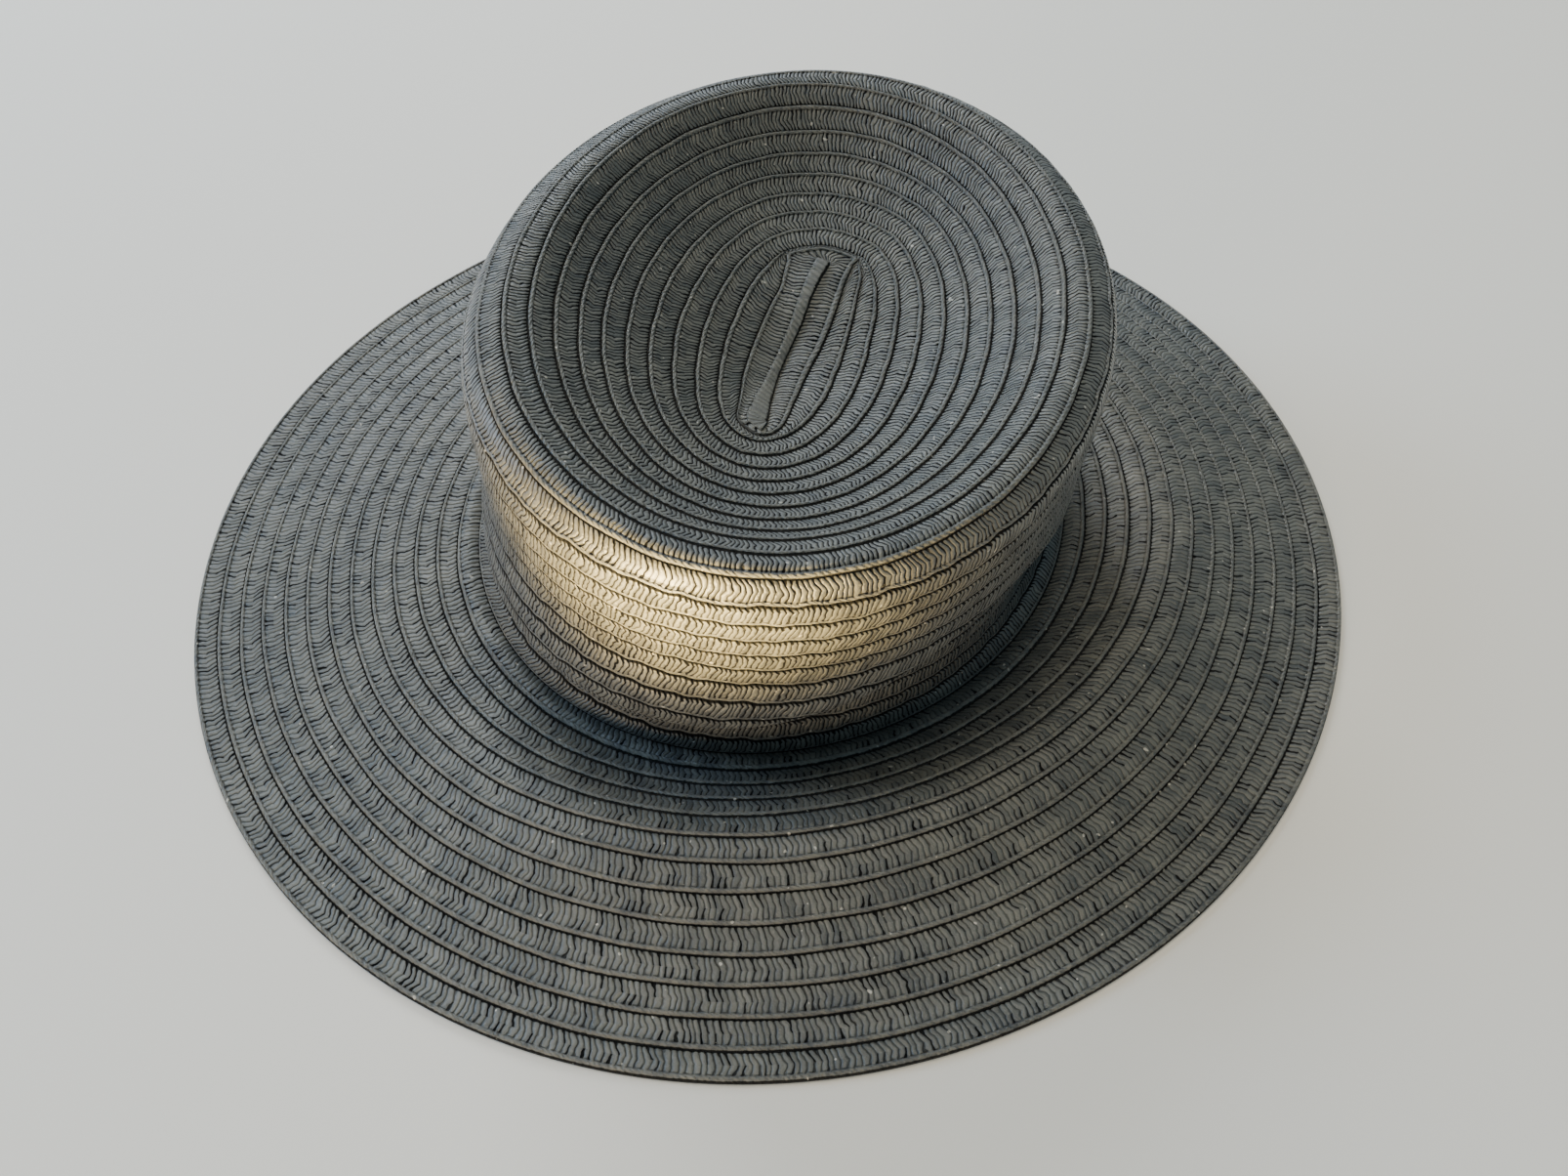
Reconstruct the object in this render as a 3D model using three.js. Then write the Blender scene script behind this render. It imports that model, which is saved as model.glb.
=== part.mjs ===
// A sun hat sewn from one long flat straw braid, laid in rows from the middle of the tip outwards.
// Millimetres, +Z up. The origin is on the table, under the middle of the brim.
// +Y runs along the long axis of the crown, and the wearer's face is on the -Y side.
import * as THREE from 'three';

// Driving sizes
const WALL = 2;                 // thickness of the sewn straw
const ROW_STEP = 0.6;           // each row lies this much under the row inside it
const SEAM = 0.08;              // width of that step, in rows
const JOINT = 0.04;             // half the joint between two pieces, in rows
const SEGMENTS = 44;            // facets round the hat
const BUTTON_ROW = 0.6;         // the tip starts from a flat strip inside this row
const CREST_ROW = 12.4;         // the fold between the tip and the side of the crown
const FOLD_END_ROW = 24.8;      // the dent in the side has come back out here
const FOLD_DEEPEST = 1.8;       // rows from the start of that dent to its deepest row
const SIDE_SETTLE_ROW = 21.3;   // from here down the side follows the waves of the brim
const FOOT_ROW = 25;            // the side of the crown meets the brim
const FLAT_ROW = 37;            // the last row lies flat on the table
const EDGE_ROW = 38;            // outer edge of the brim

// The crown's rows as ovals: half width across, half length along, slant of the oval, its centre,
// mean height, and how far that height leans across and along and waves round the oval
const OVALS = [
  { row: 0, across: 0, along: 20, slant: 0, x: 4, y: -2.5, z: 72.8, leanX: 0, leanY: 4.3, waveA: -2.3, waveB: 0 },
  { row: 3, across: 20.5, along: 41.8, slant: 0, x: 4.8, y: -2.4, z: 76.8, leanX: -3.1, leanY: 4.2, waveA: -1, waveB: 0.2 },
  { row: 6, across: 41, along: 63.5, slant: 0, x: 6, y: -2.2, z: 83.2, leanX: -6.4, leanY: 2.4, waveA: 0, waveB: 0.7 },
  { row: 9, across: 59.8, along: 84, slant: 0, x: 7.4, y: -2.8, z: 92.6, leanX: -8.3, leanY: 2.5, waveA: 0.3, waveB: 0.7 },
  { row: 11, across: 72.2, along: 97, slant: 0, x: 8, y: -3.1, z: 100.4, leanX: -8.7, leanY: 3, waveA: 0.1, waveB: 0.4 },
  { row: 12, across: 79.2, along: 104, slant: 0, x: 8.1, y: -3, z: 101.1, leanX: -8, leanY: 2.3, waveA: -0.5, waveB: 1.4 },
  { row: 12.5, across: 82.8, along: 107.4, slant: 0, x: 8.1, y: -3, z: 99.4, leanX: -8, leanY: 2.5, waveA: -0.5, waveB: 1.5 },
  { row: 13, across: 85.6, along: 109.5, slant: 0.6, x: 8.2, y: -2.9, z: 96.8, leanX: -7.7, leanY: 2.7, waveA: 0, waveB: 2.1 },
  { row: 14, across: 87.7, along: 110.8, slant: 1.6, x: 8.4, y: -2.6, z: 90, leanX: -7.3, leanY: 2.8, waveA: 0, waveB: 2.6 },
  { row: 15, across: 87.9, along: 110.6, slant: 1.8, x: 7.9, y: -2.4, z: 82.4, leanX: -7.2, leanY: 2.7, waveA: -0.2, waveB: 2.4 },
  { row: 18, across: 87.5, along: 108.4, slant: 2.2, x: 7, y: -2.8, z: 60, leanX: -7, leanY: 2.4, waveA: -0.8, waveB: 1.4 },
  { row: 21.3, across: 88, along: 107, slant: 4, x: 6, y: -6, z: 35.5, leanX: -7, leanY: 2.2, waveA: -1.5, waveB: 0.5 },
  { row: 23, across: 87, along: 103, slant: 3.5, x: 3.5, y: -5, z: 24, leanX: -5.5, leanY: 1.5, waveA: -0.8, waveB: 0 },
  { row: 24.2, across: 90.5, along: 101, slant: 3.4, x: 1.2, y: -3, z: 14.5, leanX: -2, leanY: 0.5, waveA: 0, waveB: 0 },
  { row: FOOT_ROW, across: 96, along: 101.7, slant: 3.3, x: 0, y: -1.5, z: 9, leanX: 0, leanY: 0, waveA: 0, waveB: 0 },
];

// The brim's outer edge, an oval flat on the table
const EDGE = { across: 187.5, along: 193.2, slant: 3.3, x: 0, y: 0 };

// The brim's wave and the dent in the side of the crown, by bearing from +X towards +Y:
// heights at the foot and at rows 27, 29.3 and 34, how far the rows crowd inwards,
// the row where the dent starts and its depth
const WAVES = [
  { bearing: 0, foot: 6, rise: 8.5, swell: 13, skirt: 5, crowd: 0.8, foldRow: 19.5, fold: 4 },
  { bearing: 30, foot: 7.5, rise: 9, swell: 11, skirt: 4.5, crowd: 0.4, foldRow: 21, fold: 1 },
  { bearing: 60, foot: 8.5, rise: 8.5, swell: 8, skirt: 3.5, crowd: 0, foldRow: 21.5, fold: 0 },
  { bearing: 90, foot: 9, rise: 8, swell: 6.5, skirt: 2.6, crowd: 0, foldRow: 22, fold: 0 },
  { bearing: 120, foot: 9, rise: 7.6, swell: 6, skirt: 2.4, crowd: 0, foldRow: 22, fold: 0 },
  { bearing: 150, foot: 9, rise: 7.5, swell: 5.8, skirt: 2.2, crowd: 0, foldRow: 22, fold: 0 },
  { bearing: 180, foot: 9, rise: 7.5, swell: 5.8, skirt: 2.2, crowd: 0, foldRow: 22, fold: 0 },
  { bearing: 210, foot: 8, rise: 7.2, swell: 6, skirt: 2.4, crowd: 0, foldRow: 22, fold: 0.5 },
  { bearing: 240, foot: 6, rise: 6.5, swell: 8.5, skirt: 3.2, crowd: 0.6, foldRow: 22, fold: 2 },
  { bearing: 270, foot: 4.5, rise: 8.5, swell: 15.5, skirt: 5, crowd: 1.4, foldRow: 21.4, fold: 5 },
  { bearing: 300, foot: 4.5, rise: 10.5, swell: 18, skirt: 6.3, crowd: 1.6, foldRow: 19.9, fold: 9 },
  { bearing: 330, foot: 5, rise: 10.5, swell: 17, skirt: 6.2, crowd: 1.2, foldRow: 18.2, fold: 8 },
];
const RISE_ROW = 27;
const SWELL_ROW = 29.3;
const SKIRT_ROW = 34;

// Rows where the inner face of each piece has a ring
const TIP_INNER_ROWS = [11.8, 11, 9.5, 8, 6.5, 5, 3.5, 2];
const SIDE_INNER_ROWS = [24.3, 23.4, 22.4, 21.3, 20, 18.5, 17, 15.5, 14.2, 13.3, 12.8];
const BRIM_INNER_ROWS = [37, 35.5, 34, 32.5, 31, 29.3, 28, 26.8, 25.8];

const smooth = (t) => {
  const k = THREE.MathUtils.clamp(t, 0, 1);
  return k * k * (3 - 2 * k);
};

// A smooth curve through values[i] at stops[i]
function through(stops, values, at) {
  let i = 0;
  while (i < stops.length - 2 && at > stops[i + 1]) i += 1;
  const chord = (k) => (values[k + 1] - values[k]) / (stops[k + 1] - stops[k]);
  const slope = (k) => {
    if (k === 0) return chord(0);
    if (k === stops.length - 1) return chord(k - 1);
    const before = stops[k] - stops[k - 1];
    const after = stops[k + 1] - stops[k];
    return (chord(k - 1) * after + chord(k) * before) / (before + after);
  };
  const span = stops[i + 1] - stops[i];
  const t = (at - stops[i]) / span;
  const rest = 1 - t;
  return rest * rest * (1 + 2 * t) * values[i] + t * rest * rest * span * slope(i)
    + t * t * (3 - 2 * t) * values[i + 1] - t * t * rest * span * slope(i + 1);
}

const OVAL_ROWS = OVALS.map((oval) => oval.row);
const OVAL_FIELDS = Object.keys(OVALS[0]).filter((field) => field !== 'row');

function ovalAt(row) {
  const oval = {};
  for (const field of OVAL_FIELDS) {
    oval[field] = through(OVAL_ROWS, OVALS.map((station) => station[field]), row);
  }
  return oval;
}

// One column of WAVES at a bearing in degrees, joined smoothly round the hat
function waveAt(field, bearing) {
  const step = 360 / WAVES.length;
  const turn = THREE.MathUtils.euclideanModulo(bearing, 360);
  const first = Math.floor(turn / step);
  const near = [-1, 0, 1, 2].map((k) => first + k);
  const values = near.map((k) => WAVES[THREE.MathUtils.euclideanModulo(k, WAVES.length)][field]);
  return through(near.map((k) => k * step), values, turn);
}

// A point of the outer face's middle surface, before the rows' small steps
function surface(row, bearing) {
  const angle = THREE.MathUtils.degToRad(bearing);
  const cos = Math.cos(angle);
  const sin = Math.sin(angle);
  const inner = ovalAt(Math.min(row, FOOT_ROW));
  const out = THREE.MathUtils.clamp((row - FOOT_ROW) / (EDGE_ROW - FOOT_ROW), 0, 1);
  const size = (field) => THREE.MathUtils.lerp(inner[field], EDGE[field], out);
  let x = size('x') + size('across') * cos + size('slant') * sin;
  let y = size('y') + size('along') * sin + size('slant') * cos;
  let z = inner.z + inner.leanX * cos + inner.leanY * sin
    + inner.waveA * Math.cos(2 * angle) + inner.waveB * Math.sin(2 * angle);
  const foot = waveAt('foot', bearing);
  let push = 0;
  if (row > FOOT_ROW) {
    const rows = [FOOT_ROW - 1.5, FOOT_ROW, RISE_ROW, SWELL_ROW, SKIRT_ROW, FLAT_ROW, EDGE_ROW];
    const heights = [foot + 3, foot, waveAt('rise', bearing), waveAt('swell', bearing), waveAt('skirt', bearing), 0, 0];
    z = row < FLAT_ROW ? through(rows, heights, row) : 0;
    push = -waveAt('crowd', bearing) * Math.sin(Math.PI * out);
  } else {
    const settle = smooth((row - SIDE_SETTLE_ROW) / (FOOT_ROW - SIDE_SETTLE_ROW));
    z += (foot - OVALS.at(-1).z) * settle;
    const start = waveAt('foldRow', bearing);
    const deepest = start + FOLD_DEEPEST;
    const into = smooth((row - start) / FOLD_DEEPEST);
    const back = smooth((FOLD_END_ROW - row) / (FOLD_END_ROW - deepest));
    push = -waveAt('fold', bearing) * into * back;
  }
  return new THREE.Vector3(x + push * cos, y + push * sin, z + WALL);
}

function outward(row, bearing) {
  if (row >= FLAT_ROW) return new THREE.Vector3(0, 0, 1);
  const alongRow = surface(row, bearing + 1).sub(surface(row, bearing - 1));
  const acrossRow = surface(row + 0.2, bearing).sub(surface(Math.max(row - 0.2, 0.2), bearing));
  return acrossRow.cross(alongRow).normalize();
}

function ring(row, depth) {
  const points = [];
  for (let i = 0; i < SEGMENTS; i += 1) {
    const bearing = 90 + (360 * i) / SEGMENTS;
    points.push(surface(row, bearing).addScaledVector(outward(row, bearing), -depth));
  }
  return points;
}

// Rings of the outer face between two rows: each row falls by ROW_STEP where the next one starts
function outerRings(first, last) {
  const rings = [ring(first, 0)];
  for (let row = Math.ceil(first + 2 * SEAM); row < last - 2 * SEAM; row += 1) {
    rings.push(ring(row, 0));
    rings.push(ring(row + SEAM, ROW_STEP));
  }
  rings.push(ring(last, 0));
  return rings;
}

const innerRings = (rows) => rows.map((row) => ring(row, WALL));

// Joins rings into one closed skin: end to end where it is a tube round the hat,
// or with a ladder of facets across the first and last ring where it closes over the middle
function skin(rings, closesOverMiddle) {
  const position = rings.flat().flatMap((point) => [point.x, point.y, point.z]);
  const index = [];
  const at = (r, i) => (r % rings.length) * SEGMENTS + (i % SEGMENTS);
  const bands = closesOverMiddle ? rings.length - 1 : rings.length;
  for (let r = 0; r < bands; r += 1) {
    for (let i = 0; i < SEGMENTS; i += 1) {
      index.push(at(r, i), at(r + 1, i), at(r + 1, i + 1));
      index.push(at(r, i), at(r + 1, i + 1), at(r, i + 1));
    }
  }
  if (closesOverMiddle) {
    const lastRing = rings.length - 1;
    for (let i = 0; i < SEGMENTS / 2; i += 1) {
      const left = i;
      const right = SEGMENTS - i;
      if (i > 0) index.push(at(0, left), at(0, left + 1), at(0, right));
      if (i > 0) index.push(at(lastRing, left), at(lastRing, right), at(lastRing, left + 1));
      if (i < SEGMENTS / 2 - 1) index.push(at(0, right), at(0, left + 1), at(0, right - 1));
      if (i < SEGMENTS / 2 - 1) index.push(at(lastRing, right), at(lastRing, right - 1), at(lastRing, left + 1));
    }
  }
  const geometry = new THREE.BufferGeometry();
  geometry.setAttribute('position', new THREE.Float32BufferAttribute(position, 3));
  geometry.setIndex(index);
  geometry.computeVertexNormals();
  return geometry;
}

const straw = (color) => new THREE.MeshStandardMaterial({ color, roughness: 0.75, metalness: 0 });

function piece(name, geometry, color) {
  const mesh = new THREE.Mesh(geometry, straw(color));
  mesh.name = name;
  return mesh;
}

// The sunken oval tip, from the strip in its middle up to the crest
function crownTip() {
  const last = CREST_ROW - JOINT;
  const rings = [...outerRings(BUTTON_ROW, last), ring(last, WALL), ...innerRings(TIP_INNER_ROWS)];
  return piece('crown_tip', skin(rings, true), 0x6f6d68);
}

// The upright side of the crown, from the crest down to the foot
function crownSide() {
  const first = CREST_ROW + JOINT;
  const last = FOOT_ROW - JOINT;
  const rings = [
    ...outerRings(first, last),
    ring(last, WALL),
    ...innerRings(SIDE_INNER_ROWS),
    ring(first, WALL),
  ];
  return piece('crown_side', skin(rings, false), 0x7a766c);
}

// The wide brim, waved at the front, with its outer row flat on the table
function brim() {
  const first = FOOT_ROW + JOINT;
  const rings = [
    ...outerRings(first, EDGE_ROW),
    ring(EDGE_ROW, WALL),
    ...innerRings(BRIM_INNER_ROWS),
    ring(first, WALL),
  ];
  return piece('brim', skin(rings, false), 0x64635f);
}

const hat = new THREE.Group();
hat.add(crownTip(), crownSide(), brim());

export default hat;
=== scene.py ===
"""A sun hat sewn from one long flat braid of paper straw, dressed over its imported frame.

The hat is one braid laid in rows from the middle of the tip to the edge of the brim.
Each sub-assembly is a closed wall that carries those rows as real relief: a flat strip,
a line of stitches, a raised cord and the step down to the next row.
"""

import logging
import math
from collections.abc import Iterator
from dataclasses import dataclass
from enum import Enum
from typing import Any

import bmesh
import bpy
import numpy as np
from mathutils import Matrix, Vector

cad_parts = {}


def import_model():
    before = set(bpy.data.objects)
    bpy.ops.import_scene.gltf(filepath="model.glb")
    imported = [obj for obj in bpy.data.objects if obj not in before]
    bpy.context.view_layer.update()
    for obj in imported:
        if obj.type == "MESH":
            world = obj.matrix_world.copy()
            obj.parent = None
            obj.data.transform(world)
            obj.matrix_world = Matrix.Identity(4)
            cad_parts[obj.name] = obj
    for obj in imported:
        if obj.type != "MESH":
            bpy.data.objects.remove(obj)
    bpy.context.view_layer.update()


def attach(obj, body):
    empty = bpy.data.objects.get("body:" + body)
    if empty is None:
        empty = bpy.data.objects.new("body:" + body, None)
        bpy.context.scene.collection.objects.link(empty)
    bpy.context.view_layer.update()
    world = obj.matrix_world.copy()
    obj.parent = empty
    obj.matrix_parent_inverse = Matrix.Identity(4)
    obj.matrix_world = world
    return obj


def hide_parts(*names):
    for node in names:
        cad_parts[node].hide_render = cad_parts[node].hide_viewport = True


LOG = logging.getLogger("sun_hat")

# Everything about the hat is worked out in millimetres and turned to metres at the end.
MM = 0.001
TURN = 360.0
WELD_M = 2e-6

# A turn runs clockwise from the right of the picture: it is this less the bearing on the hat.
VIEW_TURN = 16.1


@dataclass(frozen=True)
class Oval:
    """One row of the crown as a tilted, waving oval: its half sizes and its middle, in millimetres."""

    row: float
    across: float
    along: float
    slant: float
    x: float
    y: float
    z: float
    lean_x: float
    lean_y: float
    wave_a: float
    wave_b: float


@dataclass(frozen=True)
class Wave:
    """The brim's wave and the crown's dent at one bearing, in millimetres and rows."""

    bearing: float
    foot: float
    rise: float
    swell: float
    skirt: float
    crowd: float
    fold_row: float
    fold: float


# The crown from the middle of the tip, over the crest near row 12, down to the foot at row 25.
OVALS = (
    Oval(0, 0, 20, 0, 4, -2.5, 72.8, 0, 4.3, -2.3, 0),
    Oval(3, 20.5, 41.8, 0, 4.8, -2.4, 76.8, -3.1, 4.2, -1, 0.2),
    Oval(6, 41, 63.5, 0, 6, -2.2, 83.2, -6.4, 2.4, 0, 0.7),
    Oval(9, 59.8, 84, 0, 7.4, -2.8, 92.6, -8.3, 2.5, 0.3, 0.7),
    Oval(11, 72.2, 97, 0, 8, -3.1, 100.4, -8.7, 3, 0.1, 0.4),
    Oval(12, 79.2, 104, 0, 8.1, -3, 101.1, -8, 2.3, -0.5, 1.4),
    Oval(12.5, 82.8, 107.4, 0, 8.1, -3, 99.4, -8, 2.5, -0.5, 1.5),
    Oval(13, 85.6, 109.5, 0.6, 8.2, -2.9, 96.8, -7.7, 2.7, 0, 2.1),
    Oval(14, 87.7, 110.8, 1.6, 8.4, -2.6, 90, -7.3, 2.8, 0, 2.6),
    Oval(15, 87.9, 110.6, 1.8, 7.9, -2.4, 82.4, -7.2, 2.7, -0.2, 2.4),
    Oval(18, 87.5, 108.4, 2.2, 7, -2.8, 60, -7, 2.4, -0.8, 1.4),
    Oval(21.3, 88, 107, 4, 6, -6, 35.5, -7, 2.2, -1.5, 0.5),
    Oval(23, 87, 103, 3.5, 3.5, -5, 24, -5.5, 1.5, -0.8, 0),
    Oval(24.2, 90.5, 101, 3.4, 1.2, -3, 14.5, -2, 0.5, 0, 0),
    Oval(25, 96, 101.7, 3.3, 0, -1.5, 9, 0, 0, 0, 0),
)

# The oval of the brim's outer edge, which the brim's rows grow towards.
EDGE = {"across": 187.5, "along": 193.2, "slant": 3.3, "x": 0.0, "y": 0.0}

# The brim's heights and the side's dent, every 30 degrees from the right towards the back.
WAVES = (
    Wave(0, 6, 8.5, 13, 5, 0.8, 19.5, 4),
    Wave(30, 7.5, 9, 11, 4.5, 0.4, 21, 1),
    Wave(60, 8.5, 8.5, 8, 3.5, 0, 21.5, 0),
    Wave(90, 9, 8, 6.5, 2.6, 0, 22, 0),
    Wave(120, 9, 7.6, 6, 2.4, 0, 22, 0),
    Wave(150, 9, 7.5, 5.8, 2.2, 0, 22, 0),
    Wave(180, 9, 7.5, 5.8, 2.2, 0, 22, 0),
    Wave(210, 8, 7.2, 6, 2.4, 0, 22, 0.5),
    Wave(240, 6, 6.5, 8.5, 3.2, 0.6, 22, 2),
    Wave(270, 4.5, 8.5, 15.5, 5, 1.4, 21.4, 5),
    Wave(300, 4.5, 10.5, 18, 6.3, 1.6, 19.9, 9),
    Wave(330, 5, 10.5, 17, 6.2, 1.2, 18.2, 8),
)


def smooth(t: np.ndarray) -> np.ndarray:
    """An even S-curve from 0 to 1."""
    k = np.clip(t, 0.0, 1.0)
    return k * k * (3 - 2 * k)


def bump(t: np.ndarray, middle: float, half: float) -> np.ndarray:
    """A round hump of height 1 around middle that is gone half a width away."""
    return np.cos(np.clip((t - middle) / half, -1, 1) * math.pi / 2) ** 2


def through(stops: np.ndarray, values: np.ndarray, at: np.ndarray) -> np.ndarray:
    """A smooth curve through the values at the stops.

    Args:
        stops: rising places of the known values, K of them.
        values: the known values, K of them, or K rows with one column per point.
        at: where the curve is wanted, one place per point.

    Returns:
        The curve's value at each point.
    """
    table = values if values.ndim == 2 else values[:, None]
    table = np.broadcast_to(table, (len(stops), len(at)))
    spans = np.diff(stops)[:, None]
    chord = np.diff(table, axis=0) / spans
    before, after = spans[:-1], spans[1:]
    inner = (chord[:-1] * after + chord[1:] * before) / (before + after)
    slope = np.concatenate([chord[:1], inner, chord[-1:]])
    i = np.searchsorted(stops[1:-1], at, side="left")
    point = np.arange(len(at))
    span = np.diff(stops)[i]
    t = (at - stops[i]) / span
    rest = 1 - t
    return (
        rest * rest * (1 + 2 * t) * table[i, point]
        + t * rest * rest * span * slope[i, point]
        + t * t * (3 - 2 * t) * table[i + 1, point]
        - t * t * rest * span * slope[i + 1, point]
    )


@dataclass(frozen=True)
class HatForm:
    """The hat's outer face without its braid, by row and bearing, as the solids have it.

    The wall is in millimetres. The rest are rows, counted from the middle of the tip, apart
    from fold_deepest, which is how many rows after its start the dent is deepest.
    """

    wall: float = 2.0
    foot_row: float = 25.0
    flat_row: float = 37.0
    edge_row: float = 38.0
    settle_row: float = 21.3
    fold_deepest: float = 1.8
    fold_end_row: float = 24.8
    rise_row: float = 27.0
    swell_row: float = 29.3
    skirt_row: float = 34.0

    def oval(self, name: str, row: np.ndarray) -> np.ndarray:
        """One measure of the crown's ovals at the rows."""
        stops = np.array([oval.row for oval in OVALS])
        return through(stops, np.array([getattr(oval, name) for oval in OVALS]), row)

    def wave(self, name: str, bearing: np.ndarray) -> np.ndarray:
        """One measure of the brim's wave, joined smoothly round the hat.

        Args:
            name: the measure's name in Wave.
            bearing: degrees from +X towards +Y, one per point.

        Returns:
            The measure at each point.
        """
        ring = np.array([getattr(wave, name) for wave in WAVES])
        step = TURN / len(WAVES)
        stops = step * np.arange(-1, len(WAVES) + 3)
        values = np.concatenate([ring[-1:], ring, ring[:3]])
        return through(stops, values, np.mod(bearing, TURN))

    def surface(self, row: np.ndarray, bearing: np.ndarray) -> np.ndarray:
        """Points of the outer face.

        Args:
            row: how many rows out from the middle of the tip, one per point.
            bearing: degrees from +X towards +Y, one per point.

        Returns:
            An array of points, one row of x, y, z each, in millimetres.
        """
        angle = np.radians(bearing)
        cos, sin = np.cos(angle), np.sin(angle)
        inner_row = np.minimum(row, self.foot_row)
        out = np.clip((row - self.foot_row) / (self.edge_row - self.foot_row), 0, 1)
        size = {
            name: self.oval(name, inner_row) * (1 - out) + EDGE[name] * out for name in EDGE
        }
        x = size["x"] + size["across"] * cos + size["slant"] * sin
        y = size["y"] + size["along"] * sin + size["slant"] * cos
        foot = self.wave("foot", bearing)
        z = self.crown_height(inner_row, angle, foot)
        on_brim = row > self.foot_row
        z = np.where(on_brim, self.brim_height(row, bearing, foot), z)
        push = np.where(
            on_brim,
            -self.wave("crowd", bearing) * np.sin(math.pi * out),
            self.dent(row, bearing),
        )
        return np.stack([x + push * cos, y + push * sin, z + self.wall], axis=1)

    def crown_height(self, row: np.ndarray, angle: np.ndarray, foot: np.ndarray) -> np.ndarray:
        """Height of the crown's rows, which settle on the brim's foot.

        Args:
            row: the row number, one per point.
            angle: the bearing in radians.
            foot: height of the brim's foot there.

        Returns:
            Millimetres over the table, before the wall is added.
        """
        z = self.oval("z", row)
        z += self.oval("lean_x", row) * np.cos(angle) + self.oval("lean_y", row) * np.sin(angle)
        z += self.oval("wave_a", row) * np.cos(2 * angle)
        z += self.oval("wave_b", row) * np.sin(2 * angle)
        settle = smooth((row - self.settle_row) / (self.foot_row - self.settle_row))
        return z + (foot - OVALS[-1].z) * settle

    def brim_height(self, row: np.ndarray, bearing: np.ndarray, foot: np.ndarray) -> np.ndarray:
        """Height of the brim's rows: up over the swell from the foot and flat at the edge.

        Args:
            row: the row number, one per point.
            bearing: degrees from +X towards +Y.
            foot: height of the brim's foot there.

        Returns:
            Millimetres over the table, before the wall is added.
        """
        stops = [self.foot_row - 1.5, self.foot_row, self.rise_row, self.swell_row]
        stops += [self.skirt_row, self.flat_row, self.edge_row]
        flat = np.zeros_like(foot)
        heights = [foot + 3, foot]
        heights += [self.wave(name, bearing) for name in ("rise", "swell", "skirt")]
        heights = np.stack(heights + [flat, flat])
        z = through(np.array(stops), heights, np.maximum(row, self.foot_row))
        return np.where(row < self.flat_row, z, 0.0)

    def dent(self, row: np.ndarray, bearing: np.ndarray) -> np.ndarray:
        """How the side of the crown is pushed in where it slumps over its foot.

        Args:
            row: the row number, one per point.
            bearing: degrees from +X towards +Y.

        Returns:
            Millimetres outwards, so negative where the side is pushed in.
        """
        start = self.wave("fold_row", bearing)
        deepest = start + self.fold_deepest
        into = smooth((row - start) / self.fold_deepest)
        back = smooth((self.fold_end_row - row) / (self.fold_end_row - deepest))
        return -self.wave("fold", bearing) * into * back

    def outward(self, row: np.ndarray, bearing: np.ndarray) -> np.ndarray:
        """Directions that point out of the hat's face.

        Args:
            row: the row number, one per point.
            bearing: degrees from +X towards +Y.

        Returns:
            One unit vector per point.
        """
        along = self.surface(row, bearing + 1) - self.surface(row, bearing - 1)
        across = self.surface(row + 0.2, bearing)
        across -= self.surface(np.maximum(row - 0.2, 0.2), bearing)
        normal = np.cross(across, along)
        normal /= np.linalg.norm(normal, axis=1, keepdims=True)
        normal[row >= self.flat_row] = (0.0, 0.0, 1.0)
        return normal


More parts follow.
